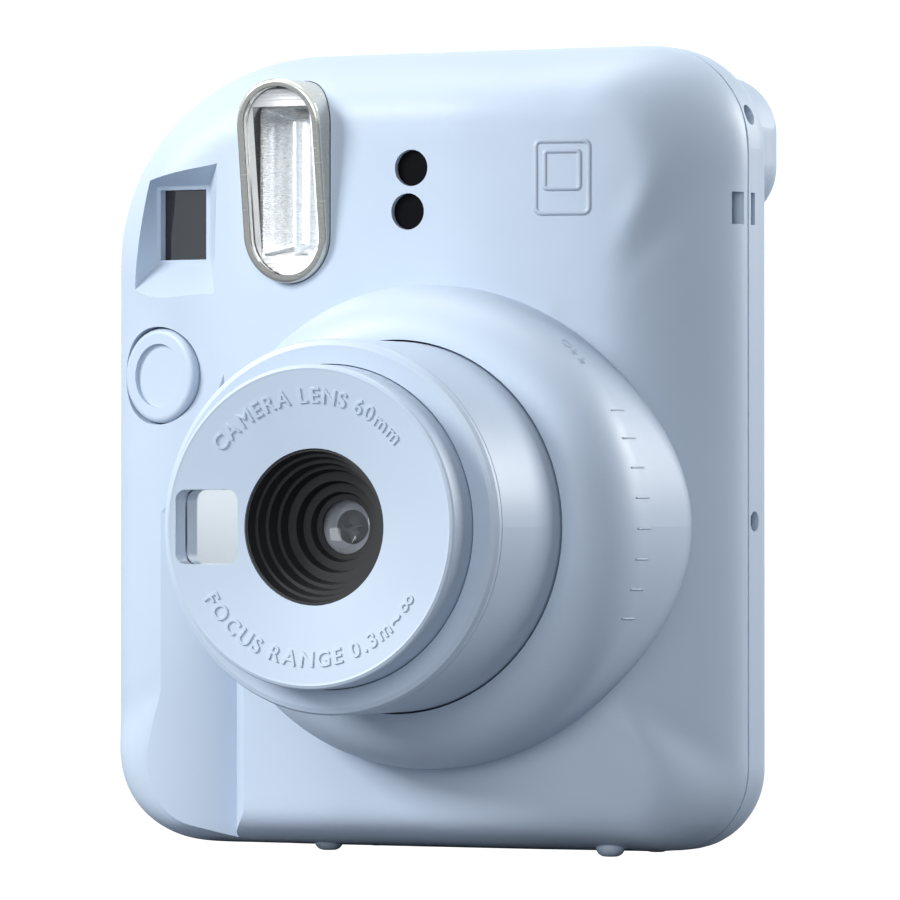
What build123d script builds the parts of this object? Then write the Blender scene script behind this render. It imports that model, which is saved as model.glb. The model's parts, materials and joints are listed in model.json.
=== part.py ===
"""Compact instant camera for 86 x 54 mm prints, modelled in millimetres.

The front of the camera faces -Y, the grip is on the -X side and +Z is up.
The origin is on the surface it stands on, under the middle of its width and depth,
with the lens barrel out, ready to take a picture.
"""
from build123d import *
from math import cos, pi, radians, sin, sqrt
import os

# Body outline, seen from the front
BODY_HALF_WIDTH = 52.0
BODY_BOTTOM = 0.5
BODY_TOP = 123.2
CORNER_TOP_GRIP = 33.0
CORNER_TOP_FAR = 16.0
CORNER_LOW_FAR = 12.5
CORNER_LOW_GRIP = 17.0
WALL = 2.0

# Depths of the body, front to back
SEAM_Y = 23.2
BACK_Y = 35.4
BACK_ROUNDING = 8.0
HUMP_Y = 41.4
HUMP_LOW = 96.1
HUMP_HIGH = 119.1
SEAM_GROOVE = 0.3

# Crown and edge rounding of the front face
CROWN_X = 12.0
CROWN_RATE = 0.00754
GRIP_SET_BACK = 3.5
EDGE_FAR = 16.0
EDGE_GRIP = 18.0
EDGE_TOP = 12.0
EDGE_LOW = 7.0
EDGE_FULLNESS = 0.8

# Crease between grip and front face: both flanks in plan, and how it fades out upward
GRIP_FLANK = ((-42.0, 3.5), (-34.2, 4.8), (-27.6, 8.2))
FACE_FLANK = ((-27.6, 8.2), (-25.2, 3.7), (-21.0, 1.3))
VALLEY_LEVELS = ((-6.0, 0.0), (52.0, 0.0), (70.0, -4.0), (90.0, -11.0))
VALLEY_FRONT = -30.0

# Lens drum and barrel, about the lens axis
LENS_X = 10.6
LENS_Z = 49.8
DRUM_RADIUS = 36.5
DRUM_FRONT = -14.0
DRUM_SHOULDER = -3.5
DRUM_ROOT = 14.0
DRUM_BORE = 28.0
RING_RADIUS = 27.7
RING_FRONT = -35.3
RING_BEZEL_LENGTH = 1.9
RING_REAR = -8.0
BARREL_RADIUS = 23.8
BARREL_FRONT = -41.5
BARREL_REAR = -12.0
LENS_BORE = 11.5
FACE_DISH = 1.9
FACE_THICKNESS = 3.2

# Selfie mirror window in the barrel face, measured from the lens axis
MIRROR_X = -17.3
MIRROR_WIDTH = 9.6
MIRROR_HEIGHT = 11.0
MIRROR_Y = -38.0

# Flash, finder, sensors and shutter button
FLASH_X = -14.7
FLASH_Z = 102.6
FLASH_WIDTH = 14.6
FLASH_HEIGHT = 31.4
FLASH_FRONT = -2.5
FLASH_TILT = 7.7
FINDER_X = -37.4
FINDER_Z = 96.7
FINDER_WIDTH = 9.3
FINDER_HEIGHT = 12.1
FINDER_Y = 8.0
SENSOR_PLACES = ((5.8, 97.6), (6.4, 104.2))
SENSOR_RADIUS = 2.78
BUTTON_X = -39.6
BUTTON_Y = 3.9
BUTTON_Z = 73.2
BUTTON_RADIUS = 7.35
BUTTON_TILT = 15.0
BUTTON_GAP = 0.25

# Film pack chamber and film door
PACK_WIDTH = 60.0
PACK_LOW = 6.8
PACK_HIGH = 94.6
CHAMBER_WALL = 1.3
CHAMBER_FRONT = 19.0
CHAMBER_BACK = 32.4
IMAGE_WIDTH = 46.0
IMAGE_HEIGHT = 62.0
DOOR_LEFT = -29.5
DOOR_RIGHT = 43.0
DOOR_LOW = 4.9
DOOR_HIGH = 94.9
DOOR_GAP = 0.3
HINGE_X = 45.0
HINGE_Y = 33.3
HINGE_KNUCKLE = 1.6
HINGE_PIN = 0.8

# Film drive
FILM_Y = 23.0
ROLLER_Z = 107.5
ROLLER_RADIUS = 3.45
ROLLER_GAP = 0.3
ROLLER_LENGTH = 55.0
GEAR_MODULE = 0.4
GEAR_X = 42.2
GEAR_WIDTH = 1.6
ROLLER_TEETH = 24
IDLER_TEETH = 26
PINION_TEETH = 10
IDLER_DIRECTION = -145.0
PINION_DIRECTION = -125.0
PINION_RELIEF = 2.9

# Batteries, in the grip
BATTERY_RADIUS = 7.1
BATTERY_LENGTH = 50.5
BATTERY_LOW = 13.0
BATTERY_PLACES = ((-41.6, 25.0), (-29.4, 17.8))
COVER_RIGHT = -38.0
COVER_LOW = 14.5
COVER_HIGH = 66.0

# Side screws: height of each, and how far out its lug reaches
SIDE_SCREWS = ((50.6, 49.7), (112.4, 48.2))
SCREW_Y = 25.4

# Running clearance of a pin in its bore
PIN_CLEARANCE = 0.05

FRONT_SECTIONS = 11
SECTION_POINTS = 120
HUB_RADIUS = 26.0
HUB_Y = 2.0

os.makedirs("parts", exist_ok=True)


def write(name, shape):
    """Write one named piece of the camera."""
    export_step(shape, f"parts/{name}.step")


def prism(sketch, front, back):
    """Extrude a sketch drawn in X and Z from the depth front to the depth back."""
    return extrude(Plane.XZ.offset(-back) * sketch, amount=back - front)


def block(x_low, x_high, y_low, y_high, z_low, z_high):
    """A plain box between two corners."""
    middle = Pos((x_low + x_high) / 2, (y_low + y_high) / 2, (z_low + z_high) / 2)
    return middle * Box(x_high - x_low, y_high - y_low, z_high - z_low)


def rod(start, direction, radius, length):
    """A cylinder from a start point along a direction."""
    base = Plane(origin=start, z_dir=direction)
    return base * Cylinder(radius, length, align=(Align.CENTER, Align.CENTER, Align.MIN))


def turned(points):
    """Turn a profile of (radius, depth) points about the lens axis."""
    plane = Plane(origin=(LENS_X, 0, LENS_Z), x_dir=(1, 0, 0), z_dir=(0, 0, 1))
    profile = plane * make_face(Polyline(*points, close=True))
    return revolve(profile, axis=Axis((LENS_X, 0, LENS_Z), (0, 1, 0)))


def tube(outer, inner, front, back):
    """A plain tube about the lens axis."""
    return turned([(inner, front), (outer, front), (outer, back), (inner, back)])


def at_lens(sketch):
    """Place a sketch drawn about the lens axis."""
    return Pos(LENS_X, LENS_Z) * sketch


# ---------------------------------------------------------------- body outline


def corner_circle(x, z, inset):
    """The centre and radius of the outline's corner nearest a point."""
    radius = {
        (False, True): CORNER_TOP_GRIP,
        (True, True): CORNER_TOP_FAR,
        (True, False): CORNER_LOW_FAR,
        (False, False): CORNER_LOW_GRIP,
    }[(x > 0, z > LENS_Z)]
    centre_x = (BODY_HALF_WIDTH - radius) * (1 if x > 0 else -1)
    centre_z = BODY_TOP - radius if z > LENS_Z else BODY_BOTTOM + radius
    return centre_x, centre_z, radius - inset


def outline_hit(angle, inset):
    """Where a ray from the lens axis meets the body outline, and the outline's normal there."""
    step_x = cos(angle)
    step_z = sin(angle)
    wall_x = (BODY_HALF_WIDTH - inset) * (1 if step_x > 0 else -1)
    wall_z = BODY_TOP - inset if step_z > 0 else BODY_BOTTOM + inset
    reach_x = (wall_x - LENS_X) / step_x if abs(step_x) > 1e-9 else 1e9
    reach_z = (wall_z - LENS_Z) / step_z if abs(step_z) > 1e-9 else 1e9
    reach = min(reach_x, reach_z)
    normal = (1 if step_x > 0 else -1, 0) if reach_x < reach_z else (0, 1 if step_z > 0 else -1)
    x = LENS_X + reach * step_x
    z = LENS_Z + reach * step_z
    centre_x, centre_z, radius = corner_circle(x, z, inset)
    beyond_x = (x - centre_x) * (1 if x > 0 else -1) > 0
    beyond_z = (z - centre_z) * (1 if z > LENS_Z else -1) > 0
    if beyond_x and beyond_z:
        off_x = LENS_X - centre_x
        off_z = LENS_Z - centre_z
        along = off_x * step_x + off_z * step_z
        reach = -along + sqrt(along**2 - off_x**2 - off_z**2 + radius**2)
        x = LENS_X + reach * step_x
        z = LENS_Z + reach * step_z
        normal = ((x - centre_x) / radius, (z - centre_z) / radius)
    return reach, normal


def smooth_step(value):
    """Rise from 0 to 1 with level ends."""
    held = min(1.0, max(0.0, value))
    return held * held * (3 - 2 * held)


def crown(x):
    """How far the front face falls back across the width, before its edge rounding."""
    far_side = CROWN_RATE * max(0.0, x - CROWN_X) ** 2
    grip_side = GRIP_SET_BACK * smooth_step((-5.0 - x) / 29.0)
    return far_side + grip_side


def edge_width(normal):
    """Width of the edge rounding where the outline faces the given way."""
    across = EDGE_FAR if normal[0] > 0 else EDGE_GRIP
    upright = EDGE_TOP if normal[1] > 0 else EDGE_LOW
    return 1 / sqrt((normal[0] / across) ** 2 + (normal[1] / upright) ** 2)


def edge_power(normal):
    """Exponent of the edge rounding: 2 is an ellipse, and the grip and the bottom are fuller."""
    return 2 + EDGE_FULLNESS * (max(0.0, -normal[0]) ** 2 + max(0.0, -normal[1]) ** 2)


def front_point(angle, share, inset):
    """A point of the front skin, a share of the way from the hub to the outline."""
    reach, normal = outline_hit(angle, inset)
    start = HUB_RADIUS + 6.0
    distance = start + (reach - start) * share
    x = LENS_X + distance * cos(angle)
    z = LENS_Z + distance * sin(angle)
    to_edge = (reach - distance) * (cos(angle) * normal[0] + sin(angle) * normal[1])
    turn = max(0.0, 1 - to_edge / edge_width(normal))
    power = edge_power(normal)
    base = crown(x) + inset
    return x, base + (SEAM_Y - base) * (1 - max(0.0, 1 - turn**power) ** (1 / power)), z


def front_section(share, inset):
    """One closed curve round the front skin."""
    angles = [2 * pi * step / SECTION_POINTS for step in range(SECTION_POINTS)]
    points = [front_point(angle, share, inset) for angle in angles]
    knots = [step / SECTION_POINTS for step in range(SECTION_POINTS + 1)]
    return Wire([Edge.make_spline(points, periodic=True, parameters=knots)])


def hub_section(inset):
    """The flat circle that starts the front skin, hidden inside the drum."""
    angles = [2 * pi * step / SECTION_POINTS for step in range(SECTION_POINTS)]
    points = [
        (LENS_X + HUB_RADIUS * cos(angle), HUB_Y + inset, LENS_Z + HUB_RADIUS * sin(angle))
        for angle in angles
    ]
    knots = [step / SECTION_POINTS for step in range(SECTION_POINTS + 1)]
    return Wire([Edge.make_spline(points, periodic=True, parameters=knots)])


def front_solid(inset):
    """The front half of the body as a solid, from its crowned face to the seam."""
    shares = [1 - (1 - step / FRONT_SECTIONS) ** 2 for step in range(FRONT_SECTIONS + 1)]
    sections = [hub_section(inset)] + [front_section(share, inset) for share in shares]
    return Solid.make_loft(sections)


# ---------------------------------------------------------------- shells


def outline(inset):
    """The body outline as a sketch in X and Z."""
    low = BODY_BOTTOM + inset
    high = BODY_TOP - inset
    half = BODY_HALF_WIDTH - inset
    frame = Polyline((-half, low), (half, low), (half, high), (-half, high), close=True)
    face = make_face(frame)
    radii = {
        (-1, -1): CORNER_LOW_GRIP,
        (1, -1): CORNER_LOW_FAR,
        (1, 1): CORNER_TOP_FAR,
        (-1, 1): CORNER_TOP_GRIP,
    }
    middle = (low + high) / 2
    for (side, level), radius in radii.items():
        corner = [
            vertex
            for vertex in face.vertices()
            if vertex.X * side > half - 0.01 and (vertex.Y - middle) * level > middle - low - 0.01
        ]
        face = fillet(corner, radius - inset)
    return face


def grip_valley(inset):
    """The space in front of the crease between grip and front face, which fades out upward."""
    sections = []
    for height, forward in VALLEY_LEVELS:
        grip_flank = [(x, y + forward + inset) for x, y in GRIP_FLANK]
        face_flank = [(x, y + forward + inset) for x, y in FACE_FLANK]
        clear_of_face = [
            face_flank[-1],
            (face_flank[-1][0], VALLEY_FRONT),
            (grip_flank[0][0], VALLEY_FRONT),
            grip_flank[0],
        ]
        edge = ThreePointArc(*grip_flank) + ThreePointArc(*face_flank) + Polyline(*clear_of_face)
        sections.append(Plane.XY.offset(height) * make_face(edge))
    return loft(sections, ruled=True)


def shoulder_arc(width, depth):
    """A quarter ellipse from the drum's bore to its side wall."""
    return EllipticalCenterArc((DRUM_BORE, DRUM_SHOULDER), width, depth, start_angle=270, arc_size=90)


def drum():
    """The fixed drum round the lens ring, with a rounded shoulder and an open bore."""
    plane = Plane(origin=(LENS_X, 0, LENS_Z), x_dir=(1, 0, 0), z_dir=(0, 0, 1))
    inner_radius = DRUM_RADIUS - WALL
    outer_arc = shoulder_arc(DRUM_RADIUS - DRUM_BORE, DRUM_SHOULDER - DRUM_FRONT)
    inner_arc = shoulder_arc(inner_radius - DRUM_BORE, DRUM_SHOULDER - DRUM_FRONT - WALL)
    root = Polyline(
        (DRUM_RADIUS, DRUM_SHOULDER),
        (DRUM_RADIUS, DRUM_ROOT),
        (inner_radius, DRUM_ROOT),
        (inner_radius, DRUM_SHOULDER),
    )
    lip = Line((DRUM_BORE, DRUM_FRONT + WALL), (DRUM_BORE, DRUM_FRONT))
    profile = plane * make_face(outer_arc + root + inner_arc + lip)
    wall = revolve(profile, axis=Axis((LENS_X, 0, LENS_Z), (0, 1, 0)))
    return wall - block(-40, -15, 10.2, 30, 10, 90)


def finder_pocket(grow, back):
    """The funnel round the finder window, with four sloping sides."""
    half_width = FINDER_WIDTH / 2 + grow
    half_height = FINDER_HEIGHT / 2 + grow
    window = make_face(
        Polyline(
            (FINDER_X - half_width, FINDER_Z - half_height),
            (FINDER_X + half_width, FINDER_Z - half_height),
            (FINDER_X + half_width, FINDER_Z + half_height),
            (FINDER_X - half_width, FINDER_Z + half_height),
            close=True,
        )
    )
    mouth = make_face(
        Polyline(
            (-48.3 - grow, 79.8 - grow),
            (-27.1 + grow, 82.4 - grow),
            (-26.2 + grow, 107.9 + grow),
            (-41.9 - grow, 105.5 + grow),
            close=True,
        )
    )
    return loft([Plane.XZ.offset(-back) * window, Plane.XZ * mouth], ruled=True)


def stadium(width, height):
    """An upright rounded slot."""
    return Rot(0, 0, 90) * SlotOverall(height, width)


def button_plane():
    """The plane of the shutter button's rim, facing out of the camera."""
    tilt = radians(BUTTON_TILT)
    return Plane(origin=(BUTTON_X, BUTTON_Y, BUTTON_Z), x_dir=(0, 0, 1), z_dir=(-sin(tilt), -cos(tilt), 0))


def seam_groove(front, back):
    """A ring round the body that leaves the fine line between the two shells."""
    return prism(outline(-3.0), front, back) - prism(outline(SEAM_GROOVE), front - 1, back + 1)


def strap_slots(front, back):
    """The two strap openings, one on each side of the body."""
    far_side = block(47.0, 60.0, front, back, 95.6, 100.5)
    return far_side + mirror(far_side, about=Plane.YZ)


def foot(x, y):
    """A small round foot with a flat end."""
    peg = Pos(x, y, 0) * Cylinder(2.2, 4.5, align=(Align.CENTER, Align.CENTER, Align.MIN))
    return fillet(peg.edges().group_by(Axis.Z)[0], 1.4)


def front_shell():
    """The front cover, its drum, finder pocket, screw lugs and front feet."""
    outer = front_solid(0) - grip_valley(0)
    inner = front_solid(WALL) - grip_valley(WALL)
    shell = outer - inner
    shell -= turned([(0, -20), (DRUM_RADIUS - 1, -20), (DRUM_RADIUS - 1, 30), (0, 30)])
    shell += drum()
    shell += finder_pocket(WALL, FINDER_Y + 1.6) & outer
    shell -= finder_pocket(0, FINDER_Y)
    shell -= prism(
        Pos(FINDER_X, FINDER_Z) * Rectangle(FINDER_WIDTH - 1.2, FINDER_HEIGHT - 1.2), 5, FINDER_Y + 5
    )
    shell -= prism(Pos(FLASH_X, FLASH_Z) * stadium(FLASH_WIDTH, FLASH_HEIGHT), -10, 14)
    for x, height in SENSOR_PLACES:
        shell -= prism(Pos(x, height) * Circle(SENSOR_RADIUS), -5, 6)
    well = Circle(BUTTON_RADIUS + BUTTON_GAP)
    shell -= extrude(button_plane().offset(6) * well, amount=-14)
    for height, lug_end in SIDE_SCREWS:
        shell += block(45.6, lug_end + 0.6, 19.5, SEAM_Y, height - 2.5, height + 2.5)
        shell += block(45.6, lug_end, SEAM_Y, 28.0, height - 2.5, height + 2.5)
    shell -= strap_slots(19.2, 21.8)
    shell -= rod((GEAR_X - 0.5, *PINION_CENTRE), (1, 0, 0), PINION_RELIEF, GEAR_WIDTH + 1.0)
    shell += foot(LENS_X - 24, 11) + foot(LENS_X + 24, 11)
    shell -= seam_groove(SEAM_Y - SEAM_GROOVE, SEAM_Y + 1)
    for height, _ in SIDE_SCREWS:
        shell -= rod((40, SCREW_Y, height), (1, 0, 0), 0.9, 9.75)
    return shell


def rear_solid(inset):
    """The rear half of the body as a solid, with the roller hump across its top."""
    body = prism(outline(inset), SEAM_Y, BACK_Y - inset)
    body = fillet(body.faces().sort_by(Axis.Y)[-1].edges(), BACK_ROUNDING - inset)
    middle = (HUMP_LOW + HUMP_HIGH) / 2
    height = HUMP_HIGH - HUMP_LOW - 2 * inset
    band = Pos(0, middle) * RectangleRounded(102 - 2 * inset, height, 9 - inset)
    hump = prism(band, 27 + inset, HUMP_Y - inset)
    hump = fillet(hump.faces().sort_by(Axis.Y)[-1].edges(), 7 - inset)
    return body + (hump & prism(outline(inset + 0.6), SEAM_Y, HUMP_Y))


def door_region(gap):
    """The block of the rear skin that belongs to the film door."""
    middle = ((DOOR_LEFT + DOOR_RIGHT) / 2, (DOOR_LOW + DOOR_HIGH) / 2)
    width = DOOR_RIGHT - DOOR_LEFT + 2 * gap
    height = DOOR_HIGH - DOOR_LOW + 2 * gap
    return prism(Pos(*middle) * RectangleRounded(width, height, 3 + gap), 28, 40)


def rear_shell(skin):
    """The rear cover with the door opening, hinge knuckles, exit slot, lugs and rear feet."""
    shell = skin - block(-60, COVER_RIGHT, 20, 50, COVER_LOW, COVER_HIGH)
    shell -= door_region(DOOR_GAP)
    shell -= block(39.5, 47.4, 31, 37, DOOR_LOW - DOOR_GAP, DOOR_HIGH + DOOR_GAP)
    for low, high in ((24.3, 35.7), (64.3, 75.7)):
        knuckle = rod((HINGE_X, HINGE_Y, low), (0, 0, 1), HINGE_KNUCKLE, high - low)
        arm = block(HINGE_X, 48.5, HINGE_Y - HINGE_KNUCKLE, HINGE_Y - 0.1, low, high)
        shell += knuckle + arm
        shell -= rod((HINGE_X, HINGE_Y, low - 1), (0, 0, 1), HINGE_PIN + PIN_CLEARANCE, high - low + 2)
    slot = Pos(LENS_X, 0) * Box(56, 3.0, 10)
    shell -= Pos(0, FILM_Y + 2.2, BODY_TOP) * slot
    shell -= prism(Pos(FINDER_X, FINDER_Z) * RectangleRounded(12.3, 12.9, 2.2), 32, 44)
    shell -= prism(Pos(-38.5, 76) * Circle(3.2), 32, 38)
    shell -= strap_slots(24.1, 25.6)
    for height, lug_end in SIDE_SCREWS:
        shell -= rod((lug_end, SCREW_Y, height), (1, 0, 0), 1.55, 8)
    shell += foot(LENS_X - 24, 27.5) + foot(LENS_X + 24, 27.5)
    return shell - seam_groove(SEAM_Y - 1, SEAM_Y + 0.15)


def battery_cover(skin):
    """The cover that wraps the grip's rear corner over the batteries."""
    gap = 0.25
    piece = skin & block(-60, COVER_RIGHT - gap, SEAM_Y + 0.25, 50, COVER_LOW + gap, COVER_HIGH - gap)
    ribs = [block(-60, -51.7, 25, 29, height, height + 0.9) for height in (52, 54.5, 57)]
    for rib in ribs:
        piece -= rib
    return piece


# ---------------------------------------------------------------- lens barrel


def barrel_guide():
    """The fixed tube inside the drum that the ring slides in."""
    return turned(
        [(28.3, -11.0), (29.8, -11.0), (29.8, 6.4), (34.2, 6.4), (34.2, 8.0), (28.3, 8.0)]
    )


def stage_sleeve():
    """The sleeve that slides with the ring but doesn't turn."""
    return turned([(24.3, -32.5), (25.6, -32.5), (25.6, -7.7), (28.0, -7.7), (28.0, -6.2), (24.3, -6.2)])


def ring_bezel():
    """The front band of the lens ring."""
    rear = RING_FRONT + RING_BEZEL_LENGTH
    outer = RING_RADIUS
    bore = BARREL_RADIUS + 0.15
    return turned(
        [
            (bore, RING_FRONT),
            (outer - 1.0, RING_FRONT),
            (outer - 0.3, RING_FRONT + 0.3),
            (outer, RING_FRONT + 1.0),
            (outer, rear - 0.15),
            (outer - 0.15, rear),
            (bore, rear),
        ]
    )


def ring_sleeve():
    """The turning sleeve behind the bezel."""
    front = RING_FRONT + RING_BEZEL_LENGTH
    outer = RING_RADIUS
    return turned(
        [(26.0, front), (outer - 0.15, front), (outer, front + 0.15), (outer, RING_REAR), (26.0, RING_REAR)]
    )


def inner_barrel():
    """The tube that carries the lens."""
    outer = BARREL_RADIUS
    body = tube(outer, outer - 1.4, BARREL_FRONT + FACE_THICKNESS, BARREL_REAR)
    return body + tube(outer - 1.4, 21.0, -20.3, -19.0)


def barrel_face():
    """The dished front of the barrel, with the window for the selfie mirror."""
    outer = BARREL_RADIUS
    front = BARREL_FRONT
    face = turned(
        [
            (LENS_BORE, front + FACE_DISH),
            (outer - 0.9, front + 0.08),
            (outer - 0.6, front),
            (outer - 0.2, front + 0.2),
            (outer, front + 0.6),
            (outer, front + FACE_THICKNESS),
            (LENS_BORE, front + FACE_THICKNESS),
        ]
    )
    window = Pos(LENS_X + MIRROR_X, LENS_Z) * RectangleRounded(MIRROR_WIDTH, MIRROR_HEIGHT, 1.6)
    return face - prism(window, front - 1, front + FACE_THICKNESS + 1)


def selfie_mirror():
    """The mirror behind the window in the barrel face."""
    place = Pos(LENS_X + MIRROR_X + 0.2, LENS_Z)
    plate = place * RectangleRounded(MIRROR_WIDTH + 0.1, MIRROR_HEIGHT + 0.4, 2.0)
    return prism(plate, MIRROR_Y, MIRROR_Y + 0.9)


def lens_baffle():
    """The black stepped funnel behind the lens bore."""
    steps = ((11.1, -39.3), (10.3, -37.6), (9.4, -35.9), (8.5, -33.9), (6.8, -32.2), (5.2, -30.6), (4.0, -29.4))
    outer = LENS_BORE - 0.1
    flange = LENS_BORE + 1.1
    points = [(outer, steps[0][1]), steps[0]]
    for (radius, _), (next_radius, next_depth) in zip(steps, steps[1:]):
        points.append((radius - 0.35, next_depth))
        points.append((next_radius, next_depth))
    points.append((steps[-1][0], -28.9))
    points.append((8.2, -28.9))
    points.append((flange, -34.5))
    points.append((flange, -36.9))
    points.append((outer, -36.9))
    return turned(points)


def lens_element(front, back, radius, bulge):
    """A round lens, convex on both faces by the bulge."""
    curve = (radius**2 + bulge**2) / (2 * bulge)
    half_sag = curve - sqrt(curve**2 - radius**2 / 4)
    plane = Plane(origin=(LENS_X, 0, LENS_Z), x_dir=(1, 0, 0), z_dir=(0, 0, 1))
    front_arc = ThreePointArc((0, front), (radius / 2, front + half_sag), (radius, front + bulge))
    rim = Line((radius, front + bulge), (radius, back - bulge))
    back_arc = ThreePointArc((radius, back - bulge), (radius / 2, back - half_sag), (0, back))
    profile = plane * make_face(front_arc + rim + back_arc + Line((0, back), (0, front)))
    return revolve(profile, axis=Axis((LENS_X, 0, LENS_Z), (0, 1, 0)))


def lens_cell():
    """The holder of both lens elements, screwed to the shutter plate."""
    return turned(
        [
            (4.6, -28.8), (8.0, -28.8), (8.0, -21.0), (12.0, -21.0), (12.0, -20.1),
            (5.2, -20.1), (5.2, -25.2), (4.6, -25.2),
        ]
    )


def shutter_plate():
    """The disc behind the lens, with the post that the shutter blade turns on."""
    return tube(20.8, 3.2, -20.0, -18.9) + rod((LENS_X + 9, -19.0, LENS_Z + 8.1), (0, 1, 0), 0.6, 1.2)


def shutter_blade():
    """The thin blade that covers the light path until it is knocked aside."""
    disc = at_lens(Circle(4.2))
    arm = at_lens(Pos(5.0, 4.5) * Rot(0, 0, 42) * Rectangle(12, 2.4))
    hub = at_lens(Pos(9.0, 8.1) * Circle(2.0))
    hole = at_lens(Pos(9.0, 8.1) * Circle(0.65))
    return prism(disc + arm + hub - hole, -18.6, -18.2)


def shutter_solenoid():
    """The coil and bracket that move the blade."""
    coil = rod((LENS_X - 9, -15.6, LENS_Z + 11), (1, 0, 0), 2.2, 9)
    bracket = block(LENS_X - 10, LENS_X + 1, -18.8, -17.9, LENS_Z + 11.4, LENS_Z + 13.5)
    return coil + bracket + block(LENS_X - 10, LENS_X - 9, -18, -13.5, LENS_Z + 9, LENS_Z + 13)


def light_tunnel():
    """The black box between the barrel and the film: a square neck, then a flare."""
    bend = 14.3
    rear = CHAMBER_FRONT - 0.1

    def section(width, height, depth):
        return Plane.XZ.offset(-depth) * at_lens(Rectangle(width, height))

    neck = prism(at_lens(Rectangle(46.4, 46.4)), 8.4, bend)
    flare = loft([section(46.4, 46.4, bend), section(54, 70, rear)])
    neck_inside = prism(at_lens(Rectangle(44, 44)), 8, bend)
    flare_inside = loft([section(44, 44, bend), section(51.4, 67.4, rear)])
    return neck + flare - neck_inside - flare_inside


# ---------------------------------------------------------------- film chamber, door and drive


def body_room():
    """The free space inside the rear shell, with a little clearance."""
    return rear_solid(WALL + 0.3) + block(-49, 49, 10, SEAM_Y, 4, 119)


def film_chamber():
    """The open-backed box that holds the film pack, with the image gate in its front wall."""
    half = PACK_WIDTH / 2 + CHAMBER_WALL
    low = PACK_LOW - CHAMBER_WALL
    front = CHAMBER_FRONT + CHAMBER_WALL
    box = block(LENS_X - half, LENS_X + half, CHAMBER_FRONT, CHAMBER_BACK, low, PACK_HIGH)
    box -= block(LENS_X - PACK_WIDTH / 2, LENS_X + PACK_WIDTH / 2, front, 40, PACK_LOW, 120)
    box -= prism(at_lens(Rectangle(IMAGE_WIDTH, IMAGE_HEIGHT)), 10, 25)
    box -= block(LENS_X + half - 3, LENS_X + half + 1, 23.5, 27.5, 9, 28)
    return box & body_room()


def light_seal():
    """The foam strip on the rim of the film chamber."""
    half = PACK_WIDTH / 2 + CHAMBER_WALL
    low = PACK_LOW - CHAMBER_WALL
    outer = block(LENS_X - half, LENS_X + half, CHAMBER_BACK, CHAMBER_BACK + 0.6, low, PACK_HIGH)
    strip = outer - block(LENS_X - half + 1.3, LENS_X + half - 1.3, 30, 40, PACK_LOW, 120)
    return strip & body_room()


def film_door(skin):
    """The rear door with its hinge knuckles, film window, latch slot and spring post."""
    door = skin & door_region(0)
    door += block(-26.6, -23.4, 29.8, 33.6, 65.0, 66.2)
    door -= prism(Pos(9, 52) * stadium(7, 20), 30, 40)
    door -= block(-27.6, -22.4, 33, 40, 41, 59)
    for low, high in ((12.0, 24.0), (36.0, 64.0), (76.0, 88.0)):
        door += rod((HINGE_X, HINGE_Y, low), (0, 0, 1), HINGE_KNUCKLE, high - low)
        door += block(DOOR_RIGHT - 1, HINGE_X, HINGE_Y + 0.25, HINGE_Y + HINGE_KNUCKLE, low, high)
    return door - rod((HINGE_X, HINGE_Y, 5), (0, 0, 1), HINGE_PIN + PIN_CLEARANCE, 90)


def film_window():
    """The clear window that shows the film pack."""
    return prism(Pos(9, 52) * stadium(6.9, 19.9), BACK_Y - 1.8, BACK_Y - 0.3)


def pressure_pads():
    """Two pads on the door that press the film pack forward."""
    plate = RectangleRounded(26, 9, 2)
    return prism(Pos(LENS_X, 26) * plate, 32.0, 33.4) + prism(Pos(LENS_X, 78) * plate, 32.0, 33.4)


def door_latch():
    """The sliding latch in the door, with its ribbed thumb pad."""
    back_plate = block(-28.9, -21.8, 32.1, 33.3, 39.5, 56.5)
    back_plate += block(-26.2, -23.8, 30.2, 32.2, 55.4, 56.8)
    thumb = block(-27.4, -22.6, 33.2, 35.2, 41.4, 54.6)
    for height in (44, 46.5, 49, 51.5):
        thumb += block(-27.0, -23.0, 35.1, 35.8, height - 0.5, height + 0.5)
    return back_plate + thumb


def coil_spring(plane, radius, wire, length, turns):
    """A round-wire coil spring that stands on a plane."""
    path = Helix(length / turns, length, radius)
    section = Plane(origin=path @ 0, z_dir=path % 0) * Circle(wire / 2)
    return plane * sweep(section, path=path)


def latch_spring():
    """The spring under the latch."""
    return coil_spring(Plane(origin=(-25, 31.1, 57.1)), 0.8, 0.3, 7.5, 7)


def roller_frame():
    """The two end plates that carry the film rollers."""
    frame = block(-20.5, -19.0, 15.0, 31.5, 103.2, 113.0) + block(40.2, 41.7, 15.0, 31.5, 103.2, 113.0)
    for y in (FILM_Y - ROLLER_RADIUS - ROLLER_GAP / 2, FILM_Y + ROLLER_RADIUS + ROLLER_GAP / 2):
        frame -= rod((-30, y, ROLLER_Z), (1, 0, 0), 1.2 + PIN_CLEARANCE, 90)
    return frame


def roller(y, shaft_end):
    """A film roller with its shaft."""
    start = LENS_X - ROLLER_LENGTH / 2
    shaft = rod((-21.2, y, ROLLER_Z), (1, 0, 0), 1.2, shaft_end + 21.2)
    return shaft + rod((start, y, ROLLER_Z), (1, 0, 0), ROLLER_RADIUS, ROLLER_LENGTH)


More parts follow.
